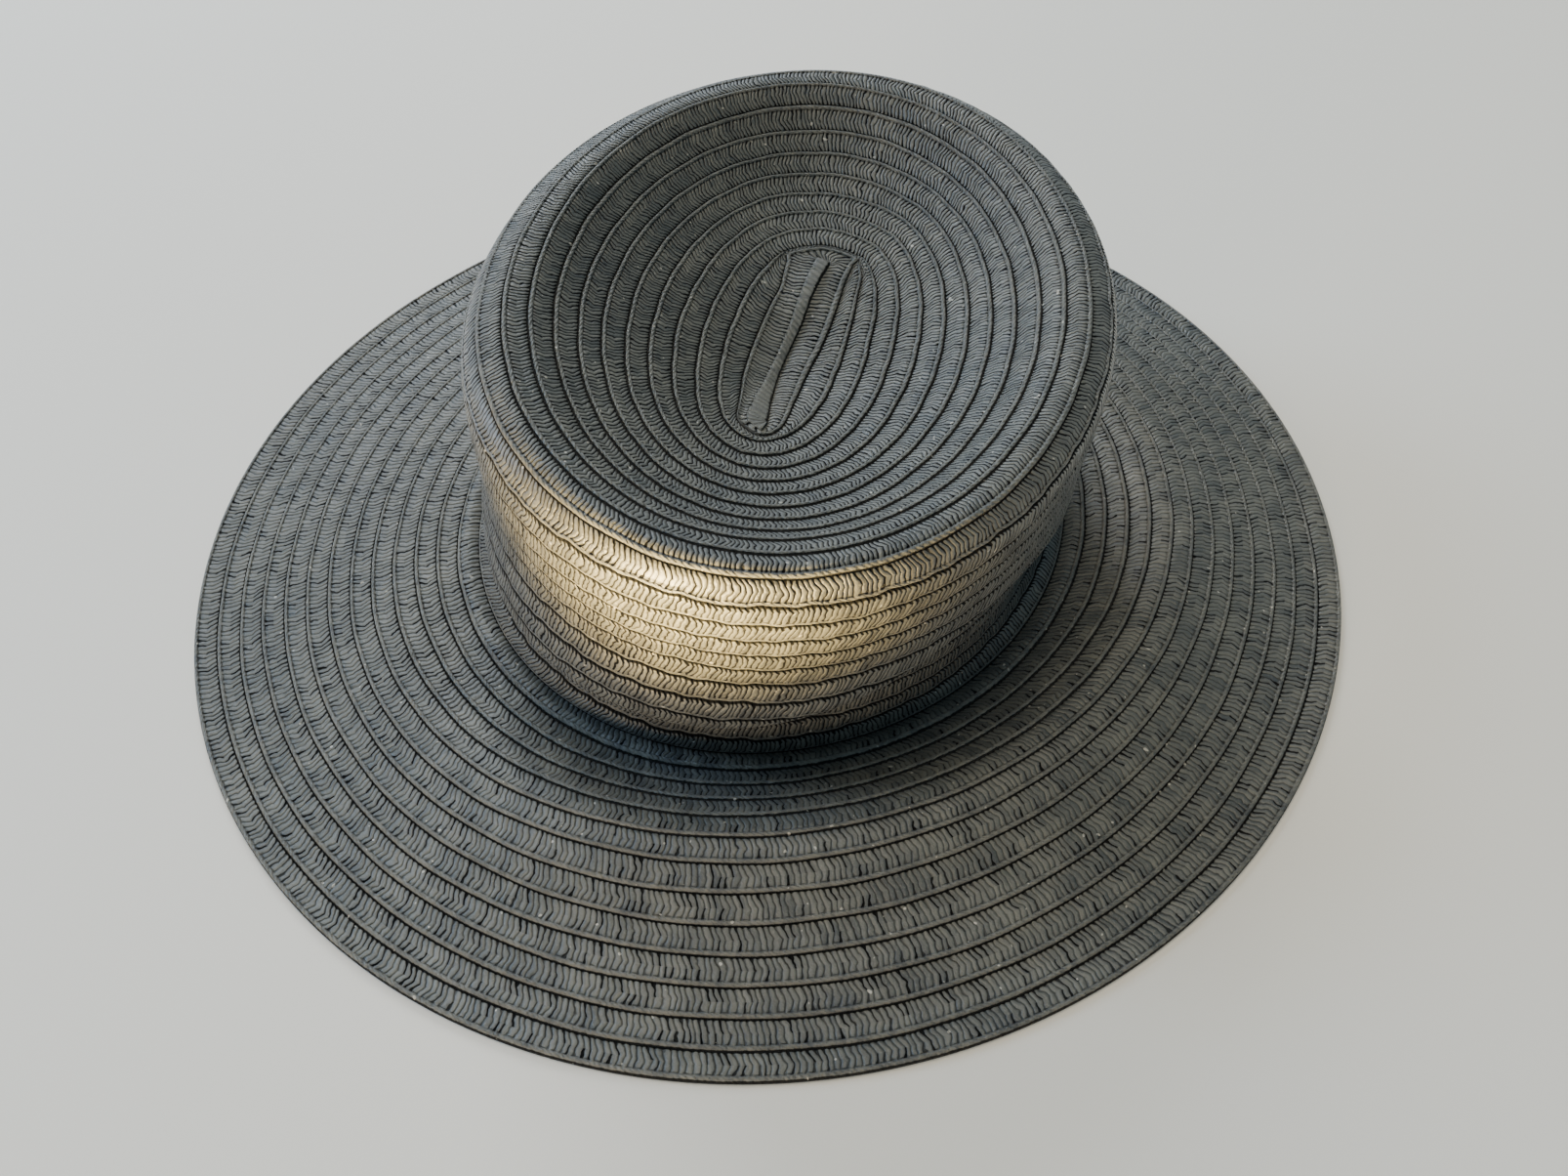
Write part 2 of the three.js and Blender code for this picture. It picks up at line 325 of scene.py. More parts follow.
@dataclass(frozen=True)
class BraidSpiral:
    """How the rows of one long braid lie on the hat: row k runs from line k to line k + 1.

    The turn is the clockwise angle seen from the camera, from -90 at the back round to 270,
    where each line goes on as the next one.
    """

    start_turn: float = -90.0
    lead: float = 2.13
    brim_lead: float = 2.0
    settling: int = 14
    blend_row: float = 21.5
    blend_rows: float = 3.5
    taper_start: float = 220.0
    taper_end: float = 270.0
    corner_fade: float = 6.0
    sway_waves: tuple[int, ...] = (4, 7, 12, 19, 31)
    sway_margin: float = 18.0
    side_lines: tuple[int, int] = (11, 22)
    side_sway: float = 0.06
    side_speed: int = 3
    flat_sway: float = 0.02
    still_lines: tuple[int, ...] = (-2, -1, 23, 36)
    seed: int = 7

    # How far the first rows bulge from the hat's own ovals: a turn, and rows outwards.
    CORNER = (
        (-90, -0.2), (-67, -0.1), (-55, 0.15), (-45, 0.42), (-30, 0.45), (-12, 0.3), (3, 0.14),
        (25, 0.1), (45, 0.2), (62, 0.28), (82, 0.32), (105, 0.38), (125, 0.35), (147, 0.24),
        (166, 0.05), (190, 0), (230, 0.1), (245, 0.1), (270, -0.2),
    )
    # The line round the two straight strips in the middle: a turn, and rows from the middle.
    STRIP = (
        (-45, 2.85), (-38, 2.27), (-29, 1.9), (-19, 1.65), (-9, 1.48), (1, 1.35), (11, 1.25),
        (20, 1.15), (28, 1.12), (40, 1.15), (51, 1.28), (60, 1.43), (69, 1.73), (79, 2.1),
        (90, 2.35), (103, 2.36), (114, 2.27), (130, 2.18), (138, 1.9), (152, 1.65), (165, 1.6),
        (177, 1.55), (210, 1.55), (221, 1.6), (236, 1.75), (249, 2.45),
    )
    # Line 0 starts in a point between the strips and the ring round them: the same two measures.
    POINT = ((-48, 3.2), (-34, 3.0), (-27, 2.73), (-22, 2.58), (-13, 2.43), (-4, 2.33), (3, 2.27))
    # The least that these lines keep from each other and from the ring, in rows.
    SLIVER = 0.09
    # A row beyond the ring, so that past the ends of STRIP the line runs close inside the ring.
    PAST_RING = 9.0

    def late_step(self, turn: np.ndarray) -> np.ndarray:
        """On the brim the braid steps out by a row only here, behind the crown."""
        return smooth((turn - self.taper_start) / (self.taper_end - self.taper_start))

    def even_line(self, line: int, turn: np.ndarray) -> np.ndarray:
        """A line that steps out by a row over the turn, evenly on the crown, late on the brim.

        Args:
            line: the line's number.
            turn: where it is wanted, one angle per point.

        Returns:
            One row number per point.
        """
        even = self.lead + turn / TURN
        row = line + even
        for _ in range(self.settling):
            settle = smooth((row - self.blend_row) / self.blend_rows)
            row = line + even - settle * (even - self.brim_lead - self.late_step(turn))
        return row

    def wander(self, line: int, turn: np.ndarray) -> np.ndarray:
        """The small sway of a hand-guided seam, still where the braid passes to the next line.

        Args:
            line: the line's number.
            turn: where it is wanted, one angle per point.

        Returns:
            Rows outwards, one per point.
        """
        if line in self.still_lines:
            return np.zeros_like(turn)
        on_side = self.side_lines[0] <= line <= self.side_lines[1]
        speed = self.side_speed if on_side else 1
        size = self.side_sway if on_side else self.flat_sway
        luck = np.random.default_rng(self.seed * 1000 + line)
        sway = np.zeros_like(turn)
        for wave in self.sway_waves:
            sway += np.sin(speed * wave * np.radians(turn) + luck.uniform(0, 2 * math.pi))
        last = self.start_turn + TURN
        still = smooth(np.minimum(turn - self.start_turn, last - turn) / self.sway_margin)
        return size * sway * still / len(self.sway_waves) ** 0.5

    def line(self, line: int, turn: np.ndarray) -> np.ndarray:
        """The hat's row number along one line of the braid.

        Args:
            line: the line's number, -1 round the strips in the middle and rising outwards.
            turn: where it is wanted, one angle per point.

        Returns:
            One row number per point.
        """
        corner = through(*np.array(self.CORNER, float).T, turn)
        fade = np.clip(1 - (line - 1) / self.corner_fade, 0.0, 1.0)
        row = self.even_line(line, turn) + self.wander(line, turn)
        row = row + corner * fade
        if line > 0:
            return row
        ring = self.even_line(1, turn) + corner
        ring = np.where(turn > 90, self.even_line(0, turn) + corner, ring)
        if line == 0:
            turns, point = np.array(self.POINT).T
            row = np.where(turn < turns[-1], np.interp(turn, turns, point), row)
            return np.where(turn < 0, np.minimum(row, ring - self.SLIVER), row)
        turns, strip = np.array(self.STRIP).T
        inside = (turn > turns[0]) & (turn < turns[-1])
        row = np.where(inside, through(turns, strip, turn), self.PAST_RING)
        return np.minimum(row, ring - 2 * self.SLIVER)


@dataclass(frozen=True)
class StartStrips:
    """The two straight strips that the braid starts with, either side of a slit.

    The slit runs along the hat; its places are in millimetres, from the front to the back.
    """

    alongs: tuple[float, ...] = (-33, -30, -24, -18, -12, -5, 2, 9, 16, 23, 31)
    acrosses: tuple[float, ...] = (6.3, 5.8, 4.6, 3.8, 3.2, 3.2, 3.8, 4.6, 5.0, 5.7, 6.8)
    heights: tuple[float, ...] = (73.5, 73.3, 72.6, 71.9, 71.8, 72.4, 73.9, 76.4, 79.6, 81.6, 82.6)
    ridge_off: tuple[float, ...] = (6.1, 5.6, 4.4, 3.2, 2.5, 2.1, 2.4, 2.8, 3.1, 3.3, 3.6)
    left_turns: tuple[float, float] = (100.0, 256.0)
    over: float = 0.5
    under: float = -0.9
    tuck: float = 0.6
    cord: float = 0.885
    fold: float = 0.42

    def at(self, values: tuple[float, ...], along: np.ndarray) -> np.ndarray:
        """One measure of the slit at places along it."""
        return through(np.array(self.alongs), np.array(values), along)

    def is_left(self, turn: np.ndarray) -> np.ndarray:
        """Whether a turn lies on the left strip, which is sewn over the right one."""
        return (turn > self.left_turns[0]) & (turn < self.left_turns[1])

    def slit(self, along: np.ndarray, left: np.ndarray) -> np.ndarray:
        """Points of each strip's free edge: the left one lies over, the right one under it.

        Args:
            along: place along the slit, one per point.
            left: whether the point lies on the left strip.

        Returns:
            One point each, in millimetres.
        """
        place = np.clip(along, self.alongs[0], self.alongs[-1])
        x = self.at(self.acrosses, place) + np.where(left, self.over, self.under)
        z = self.at(self.heights, place) - np.where(left, 0.0, self.tuck)
        return np.stack([x, place, z], axis=1)

    def folded(self, along: np.ndarray, used: np.ndarray, wide: np.ndarray) -> np.ndarray:
        """The place across a braid that is turned over along the left strip's free edge.

        Args:
            along: place along the slit, one per point.
            used: place across the strip, 0 at the slit.
            wide: the strip's width in millimetres.

        Returns:
            The place across the braid's own section: a cord near the slit and one at the rim.
        """
        place = np.clip(along, self.alongs[0], self.alongs[-1])
        ridge = np.clip(self.at(self.ridge_off, place) / wide, 0.1, 0.7)
        flap = 1 - (1 - self.cord) * np.clip(used / ridge, 0, 1) ** 0.6
        rest = np.clip((used - ridge) / (1 - ridge), 0, 1)
        inner = self.cord - (self.cord - self.fold) * np.minimum(rest * 2, 1)
        outer = self.fold + (1 - self.fold) * np.maximum(rest * 2 - 1, 0)
        return np.where(used < ridge, flap, np.where(rest < 0.5, inner, outer))


@dataclass(frozen=True)
class BraidSection:
    """The braid's cross-section, from the inner edge of a row at 0 to its outer edge at 1.

    Heights, depths and widths are in millimetres, and places and half widths in rows.
    """

    width: float = 7.4
    step: float = 0.6
    pillow: float = 0.0
    seam_depth: float = 0.95
    seam_in: float = 0.035
    seam_out: float = 0.035
    stitch_at: float = 0.785
    stitch_half: float = 0.035
    stitch_depth: float = 0.16
    cord_at: float = 0.885
    cord_half: float = 0.095
    cord_height: float = 0.36
    full_width: float = 5.0

    # Where else across a row the mesh has lines: over the ribs, then the stitches and the cord.
    # The two strips in the middle are wider and have a ridge in place of the ribs.
    RIBS = (0.2, 0.32, 0.46)
    RIDGE = (0.0, 0.02, 0.05, 0.09, 0.13, 0.17, 0.21, 0.25, 0.29, 0.33, 0.37, 0.42, 0.5)
    RIM = (0.64, 0.75, 0.785, 0.82, 0.86, 0.91, 0.95, 0.98)

    def stops(self) -> list[float]:
        """Where the mesh has a line of vertices across one row."""
        return [0.0, self.seam_in * 0.6, self.seam_in, *self.RIBS, *self.RIM]

    def close_stops(self) -> list[float]:
        """The same across the two strips in the middle, which are wider and hold a ridge."""
        return [*self.RIDGE, *self.RIM]

    def height(self, across: np.ndarray, rows: np.ndarray) -> np.ndarray:
        """Height of the braid over the hat's face.

        Args:
            across: place across the row from 0 to 1, one per point.
            rows: how wide the braid shows there, in rows.

        Returns:
            Millimetres out of the face, negative where the braid lies lower.
        """
        strip = self.step * (across - 1)
        strip += self.pillow * np.sin(math.pi * np.clip(across, 0, 1))
        strip -= self.stitch_depth * bump(across, self.stitch_at, self.stitch_half)
        cord = self.cord_height * bump(across, self.cord_at, self.cord_half)
        edge = np.minimum(across / self.seam_in, (1 - across) / self.seam_out)
        relief = -self.seam_depth + (strip + cord + self.seam_depth) * smooth(edge)
        shown = smooth(rows * self.width / self.full_width)
        return relief * shown - self.step * (1 - shown)


def linear(code: str) -> tuple[float, float, float, float]:
    """Turns an sRGB hex colour to linear light.

    Args:
        code: six hex digits.

    Returns:
        Red, green, blue and an alpha of 1.
    """
    parts = [int(code[i : i + 2], 16) / 255 for i in (0, 2, 4)]
    light = [p / 12.92 if p <= 0.04045 else ((p + 0.055) / 1.055) ** 2.4 for p in parts]
    return (light[0], light[1], light[2], 1.0)


def add_node(tree: bpy.types.NodeTree, kind: str, links: dict, **settings: Any) -> Any:
    """Adds a shader node with its settings and links.

    Args:
        tree: the material's node tree.
        kind: the node's type name.
        links: input name or number to a socket, or to a plain value.
        **settings: attributes of the node.

    Returns:
        The new node.
    """
    node = tree.nodes.new(kind)
    for name, value in settings.items():
        setattr(node, name, value)
    for name, value in links.items():
        if isinstance(value, bpy.types.NodeSocket):
            tree.links.new(value, node.inputs[name])
        else:
            node.inputs[name].default_value = value
    return node


class Work(Enum):
    """What one step of a finish does: a node's type, its settings, its inputs and its output."""

    ADD = ("ShaderNodeMath", {"operation": "ADD"}, (0, 1), 0)
    LESS = ("ShaderNodeMath", {"operation": "SUBTRACT"}, (0, 1), 0)
    TIMES = ("ShaderNodeMath", {"operation": "MULTIPLY"}, (0, 1), 0)
    TIMES_ADD = ("ShaderNodeMath", {"operation": "MULTIPLY_ADD"}, (0, 1, 2), 0)
    POWER = ("ShaderNodeMath", {"operation": "POWER"}, (0, 1), 0)
    MOST = ("ShaderNodeMath", {"operation": "MAXIMUM"}, (0, 1), 0)
    LEAST = ("ShaderNodeMath", {"operation": "MINIMUM"}, (0, 1), 0)
    OVER = ("ShaderNodeMath", {"operation": "GREATER_THAN"}, (0, 1), 0)
    SIZE = ("ShaderNodeMath", {"operation": "ABSOLUTE"}, (0,), 0)
    SINE = ("ShaderNodeMath", {"operation": "SINE"}, (0,), 0)
    FLOOR = ("ShaderNodeMath", {"operation": "FLOOR"}, (0,), 0)
    ROUND = ("ShaderNodeMath", {"operation": "ROUND"}, (0,), 0)
    REST = ("ShaderNodeMath", {"operation": "FRACT"}, (0,), 0)
    RAMP = ("ShaderNodeMapRange", {"interpolation_type": "SMOOTHSTEP"}, (0, 1, 2), 0)
    TINT = ("ShaderNodeMix", {"data_type": "RGBA"}, (0, 6, 7), 2)
    PACK = ("ShaderNodeCombineXYZ", {}, (0, 1, 2), 0)
    LUCK = ("ShaderNodeTexWhiteNoise", {}, (0,), 0)
    NOISE = ("ShaderNodeTexNoise", {}, ("Vector", "Scale", "Detail", "Roughness"), 0)


# A step's name, its work, and its inputs: names of earlier steps, numbers or colours.
Step = tuple[Any, ...]


class PartToneWithPaintedLight(Enum):
    """The straw's colour on each part of the hat: one braid of one dye, set lighter on the tip and
    darker on the brim as painted light.
    """

    TIP = "50534f"
    SIDE = "4a4842"
    BRIM = "424542"


@dataclass(frozen=True)
class PaperStraw:
    """Dyed paper straw, plaited flat: dull ribs with a soft sheen and dark slits between them.

    Its colour is uneven, worn pale on the ribs and grey with dust, with painted shade in the hollows
    between the ribs, the gaps in the cord, the slits, the stitch holes and the seams.
    and the seams don't. Its colour is uneven, worn pale on the ribs and grey with dust.
    The paper's own grain is finer than grain_mm and is drawn that coarse so that it shows.
    Sizes that aren't in millimetres are shares of a row, a rib or a stitch.
    """

    name: str
    shade: PartToneWithPaintedLight
    worn: str = "706f66"
    deep: str = "34383d"
    dust: str = "8b887e"
    lint: str = "d8d2c4"
    # Near black, laid on as painted shade in the hollows, the gaps in the cord, the slits, the stitch
    # holes and the seams.
    crevice_shade: str = "0e0e0f"
    roughness: float = 0.44
    gloss: float = 0.7
    glaze: float = 0.05
    glaze_roughness: float = 0.36
    row_mm: float = 7.4
    rib_mm: float = 1.45
    rib_bump_mm: float = 0.62
    slant_in_mm: float = 3.2
    slant_out_mm: float = 1.0
    wander_mm: float = 2.2
    crush_shift_mm: float = 2.4
    cord_from: float = 0.8
    cord_full: float = 0.84
    cord_lean_mm: float = 12.0
    twist_mm: float = 1.9
    stitch_at: float = 0.785
    stitch_core: float = 0.006
    stitch_half: float = 0.03
    stitch_mm: float = 2.8
    hole_core: float = 0.05
    hole_half: float = 0.45
    teeth_reach: float = 0.18
    pinch_from: float = 0.62
    pinch_full: float = 0.78
    slit_from: float = 0.82
    slit_edge: float = 0.1
    tooth_wider: float = 0.3
    luck_wider: float = 0.16
    cloud_mm: float = 62.5
    drift_mm: float = 11.1111
    crush_mm: float = 4.54545
    lint_mm: float = 1.6129
    fray_mm: float = 1.33333
    ragged_mm: float = 1.11111
    grain_mm: float = 0.666667
    patchiness: float = 0.55
    apex: float = 0.45
    seam_in: float = 0.04
    seam_out: float = 0.04
    ragged_depth: float = 0.07
    scallop_depth: float = 0.05
    wall_row: float = 99.0
    wall_apex: float = 0.26
    wall_seam_in: float = 0.15
    # How much painted shade falls in the hollows between ribs, in the slits' grooves and between the
    # cord's strands.
    hollow_shade_mix: float = 0.75
    groove_shade_mix: float = 0.75
    strand_shade_mix: float = 0.45
    slit_odds: tuple[float, float] = (0.1, 0.5)
    seed: float = 0.0

    def material(self) -> bpy.types.Material:
        """Builds the node material.

        Returns:
            A material that reads the braid's own map: millimetres along it and rows across.
        """
        material = bpy.data.materials.new(self.name)
        material.use_nodes = True
        tree = material.node_tree
        tree.nodes.clear()
        own = add_node(tree, "ShaderNodeUVMap", {}, uv_map=SewnShell.MAP)
        split = add_node(tree, "ShaderNodeSeparateXYZ", {0: own.outputs[0]})
        made = {"along": split.outputs[0], "line": split.outputs[1]}
        made["place"] = add_node(tree, "ShaderNodeTexCoord", {}).outputs["Object"]
        for name, work, *values in self.steps():
            kind, settings, inputs, output = work.value
            values = [made[value] if isinstance(value, str) else value for value in values]
            node = add_node(tree, kind, dict(zip(inputs, values)), **settings)
            made[name] = node.outputs[output]
        relief = add_node(
            tree,
            "ShaderNodeBump",
            {"Strength": 1.0, "Distance": self.rib_bump_mm * MM, "Height": made["height"]},
        )
        shader = add_node(
            tree,
            "ShaderNodeBsdfPrincipled",
            {
                "Base Color": made["base"],
                "Roughness": made["rough"],
                "IOR": 1.5,
                "Specular IOR Level": made["shine"],
                "Sheen Weight": 0.08,
                "Sheen Roughness": 0.4,
                "Coat Weight": made["coat"],
                "Coat Roughness": self.glaze_roughness,
                "Normal": relief.outputs[0],
            },
        )
        add_node(tree, "ShaderNodeOutputMaterial", {0: shader.outputs[0]})
        return material

    def steps(self) -> Iterator[Step]:
        """Every step of the finish in order, from the braid's map to its shine.

        Returns:
            The steps, each of which may use the names of those before it.
        """
        yield from self.patterns()
        yield from self.ribs()
        yield from self.slits()
        yield from self.cord_and_stitches()
        yield from self.seams()
        yield from self.relief()
        yield from self.colour()
        yield from self.shine()

    def patterns(self) -> Iterator[Step]:
        """Places on the braid, and the uneven patterns of the dye, the dust and the crushing.

        Returns:
            The steps, ending in noises over the hat and along the braid.
        """
        rough = self.patchiness
        yield "across", Work.REST, "line"
        yield "row", Work.FLOOR, "line"
        yield "across_mm", Work.TIMES, "line", self.row_mm
        yield "braid", Work.PACK, "along", "across_mm", self.seed
        yield "cloud", Work.NOISE, "place", 1 / (self.cloud_mm * MM), 2.0, rough
        yield "drift", Work.NOISE, "place", 1 / (self.drift_mm * MM), 3.0, rough
        yield "grain", Work.NOISE, "place", 1 / (self.grain_mm * MM), 3.0, rough
        yield "specks", Work.NOISE, "place", 1 / (self.lint_mm * MM), 0.0, rough
        yield "crush", Work.NOISE, "braid", 1 / self.crush_mm, 2.0, rough
        yield "tear", Work.NOISE, "braid", 1 / self.ragged_mm, 2.0, rough
        yield "fray", Work.NOISE, "braid", 1 / self.fray_mm, 3.0, rough

    def ribs(self) -> Iterator[Step]:
        """Ribs across the braid, in a shallow V whose point looks back along it.

        Returns:
            The steps, ending in each rib's own luck and each slit's own chance.
        """
        yield "on_wall", Work.OVER, "row", self.wall_row
        yield "peak", Work.TIMES_ADD, "on_wall", self.wall_apex - self.apex, self.apex
        yield "before", Work.LESS, "peak", "across"
        yield "before", Work.MOST, "before", 0.0
        yield "after", Work.LESS, "across", "peak"
        yield "after", Work.MOST, "after", 0.0
        yield "wander", Work.LESS, "drift", 0.5
        yield "wander", Work.TIMES, "wander", self.wander_mm
        yield "part", Work.LESS, "crush", 0.5
        yield "wander", Work.TIMES_ADD, "part", self.crush_shift_mm, "wander"
        yield "lean", Work.TIMES, "before", -self.slant_in_mm
        yield "lean", Work.TIMES_ADD, "after", -self.slant_out_mm, "lean"
        yield "shifted", Work.ADD, "along", "lean"
        yield "shifted", Work.ADD, "shifted", "wander"
        yield "phase", Work.TIMES, "shifted", 1 / self.rib_mm
        yield "number", Work.FLOOR, "phase"
        yield "saw", Work.LESS, "phase", "number"
        yield "gap", Work.LESS, "saw", 0.5
        yield "gap", Work.SIZE, "gap"
        yield "gap", Work.TIMES, "gap", 2.0
        yield "key", Work.PACK, "number", "row", self.seed
        yield "luck", Work.LUCK, "key"
        yield "nearest", Work.ROUND, "phase"
        yield "half", Work.OVER, "across", "peak"
        yield "half", Work.ADD, "half", self.seed
        yield "key", Work.PACK, "nearest", "row", "half"
        yield "chance", Work.LUCK, "key"

    def slits(self) -> Iterator[Step]:
        """Slits between ribs, wider like teeth where a row comes out from under the last.

        Returns:
            The steps, ending in the slits' grooves and the ribs' round backs.
        """
        yield "seam_in", Work.TIMES_ADD, "on_wall", self.wall_seam_in - self.seam_in, self.seam_in
        yield "part", Work.ADD, "seam_in", self.teeth_reach
        yield "tooth", Work.RAMP, "across", "seam_in", "part"
        yield "tooth", Work.LESS, 1.0, "tooth"
        yield "part", Work.RAMP, "across", self.pinch_from, self.pinch_full
        yield "part", Work.TIMES, "part", 0.6
        yield "tooth", Work.MOST, "tooth", "part"
        yield "open_at", Work.TIMES_ADD, "tooth", -self.tooth_wider, self.slit_from
        yield "open_at", Work.TIMES_ADD, "chance", -self.luck_wider, "open_at"
        yield "part", Work.ADD, "open_at", self.slit_edge
        yield "groove", Work.RAMP, "gap", "open_at", "part"
        yield "on_cord", Work.RAMP, "across", self.cord_from, self.cord_full
        yield "off_cord", Work.LESS, 1.0, "on_cord"
        yield "groove", Work.TIMES, "groove", "off_cord"
        yield "slit", Work.RAMP, "chance", *self.slit_odds
        yield "slit", Work.TIMES, "groove", "slit"
        yield "hollow", Work.POWER, "gap", 2.5
        yield "rib", Work.LESS, 1.0, "hollow"

    def cord_and_stitches(self) -> Iterator[Step]:
        """The cord, which is the plait's own turned edge, and the stitches sunk inside it.

        Returns:
            The steps, ending in the cord's twisted strands and the stitch holes.
        """
        yield "twist", Work.TIMES_ADD, "across", self.cord_lean_mm, "along"
        yield "twist", Work.TIMES, "twist", 1 / self.twist_mm
        yield "twist", Work.TIMES_ADD, "crush", 1.5, "twist"
        yield "strand", Work.TIMES, "twist", math.pi
        yield "strand", Work.SINE, "strand"
        yield "strand", Work.SIZE, "strand"
        yield "off_line", Work.LESS, "across", self.stitch_at
        yield "off_line", Work.SIZE, "off_line"
        yield "off_line", Work.RAMP, "off_line", self.stitch_core, self.stitch_half
        yield "stitch_line", Work.LESS, 1.0, "off_line"
        yield "beat", Work.ADD, "along", "wander"
        yield "beat", Work.TIMES, "beat", 1 / self.stitch_mm
        yield "beat", Work.REST, "beat"
        yield "hole", Work.LESS, "beat", 0.5
        yield "hole", Work.SIZE, "hole"
        yield "hole", Work.RAMP, "hole", self.hole_core, self.hole_half
        yield "hole", Work.TIMES, "stitch_line", "hole"

    def seams(self) -> Iterator[Step]:
        """The seam, darkened with painted shade: scalloped where the round ribs start, only ragged on
        its other side.

        Returns:
            The steps, ending in the seam.
        """
        yield "ragged", Work.TIMES_ADD, "tear", self.ragged_depth, -0.02
        yield "scallop", Work.POWER, "gap", 2.0
        yield "scallop", Work.TIMES_ADD, "scallop", self.scallop_depth, "ragged"
        yield "full", Work.ADD, "scallop", "seam_in"
        yield "part", Work.TIMES, "full", 0.7
        yield "start", Work.RAMP, "across", "part", "full"
        yield "full", Work.ADD, "ragged", self.seam_out
        yield "part", Work.TIMES, "full", 0.5
        yield "to_edge", Work.LESS, 1.0, "across"
        yield "end", Work.RAMP, "to_edge", "part", "full"
        yield "seam", Work.LEAST, "start", "end"
        yield "seam", Work.LESS, 1.0, "seam"

    def relief(self) -> Iterator[Step]:
        """How high the straw stands, in shares of the bump.

        Returns:
            The steps, ending in the height.
        """
        yield "part", Work.TIMES, "off_cord", 0.55
        yield "height", Work.TIMES, "rib", "part"
        yield "height", Work.TIMES_ADD, "slit", -0.9, "height"
        yield "height", Work.TIMES_ADD, "hole", -0.4, "height"
        yield "part", Work.TIMES, "strand", "on_cord"
        yield "height", Work.TIMES_ADD, "part", 0.3, "height"
        yield "part", Work.TIMES, "luck", "off_cord"
        yield "height", Work.TIMES_ADD, "part", 0.4, "height"
        yield "part", Work.TIMES, "fray", "on_cord"
        yield "height", Work.TIMES_ADD, "part", 1.1, "height"
        yield "height", Work.TIMES_ADD, "crush", 0.5, "height"
        yield "height", Work.TIMES_ADD, "grain", 0.4, "height"

    def colour(self) -> Iterator[Step]:
        """The dye, worn on the ribs and grey with dust and lint, with painted shade in the hollows,
        the cord's gaps, the slits, the stitch holes and the seams.

        Returns:
            The steps, ending in the colour and in how deep in shade each spot lies.
        """
        worn, deep, dust = linear(self.worn), linear(self.deep), linear(self.dust)
        crevice_shade = linear(self.crevice_shade)
        yield "part", Work.RAMP, "drift", 0.3, 0.7
        yield "base", Work.TINT, "part", linear(self.shade.value), worn
        yield "part", Work.RAMP, "cloud", 0.35, 0.7
        yield "part", Work.TIMES, "part", 0.4
        yield "base", Work.TINT, "part", "base", deep
        yield "part", Work.TIMES, "luck", 0.7
        yield "base", Work.TINT, "part", "base", worn
        yield "part", Work.POWER, "chance", 2.0
        yield "part", Work.TIMES, "part", 0.5
        yield "base", Work.TINT, "part", "base", deep
        # Painted shade: darker towards the hollows between the ribs.
        yield "part", Work.TIMES, "hollow", "off_cord"
        yield "part", Work.TIMES, "part", self.hollow_shade_mix
        yield "base", Work.TINT, "part", "base", crevice_shade
        yield "part", Work.RAMP, "grain", 0.5, 0.8
        yield "part", Work.TIMES, "part", 0.3
        yield "base", Work.TINT, "part", "base", dust
        yield "part", Work.RAMP, "fray", 0.35, 0.7
        yield "part", Work.TIMES, "part", "on_cord"
        yield "part", Work.TIMES, "part", 0.25
        yield "base", Work.TINT, "part", "base", dust
        # Painted shade between the cord's twisted strands.
        yield "part", Work.LESS, 1.0, "strand"
        yield "part", Work.TIMES, "part", "on_cord"
        yield "part", Work.TIMES, "part", self.strand_shade_mix
        yield "base", Work.TINT, "part", "base", crevice_shade
        # Painted shade in the slits' grooves, the stitch holes and the seams, laid on in the
        # near-black crevice colour.
        yield "shade", Work.TIMES, "groove", self.groove_shade_mix
        yield "shade", Work.MOST, "shade", "slit"
        yield "part", Work.TIMES, "hole", 0.55
        yield "shade", Work.MOST, "shade", "part"
        yield "shade", Work.MOST, "shade", "seam"
        yield "part", Work.TIMES, "shade", 0.92
        yield "base", Work.TINT, "part", "base", crevice_shade
        yield "part", Work.RAMP, "specks", 0.83, 0.86
        yield "part", Work.TIMES, "part", 0.6
        yield "base", Work.TINT, "part", "base", linear(self.lint)

    def shine(self) -> Iterator[Step]:
        """The paper's roughness, shine and glaze, which the slits and seams lack.

        Returns:
            The steps, ending in the shader's three values.
        """
        yield "rough", Work.TIMES_ADD, "luck", 0.14, self.roughness
        yield "rough", Work.TIMES_ADD, "on_cord", 0.12, "rough"
        yield "rough", Work.TIMES_ADD, "shade", 0.3, "rough"
        yield "shine", Work.TIMES_ADD, "shade", -self.gloss, self.gloss
        yield "coat", Work.TIMES_ADD, "shade", -self.glaze, self.glaze


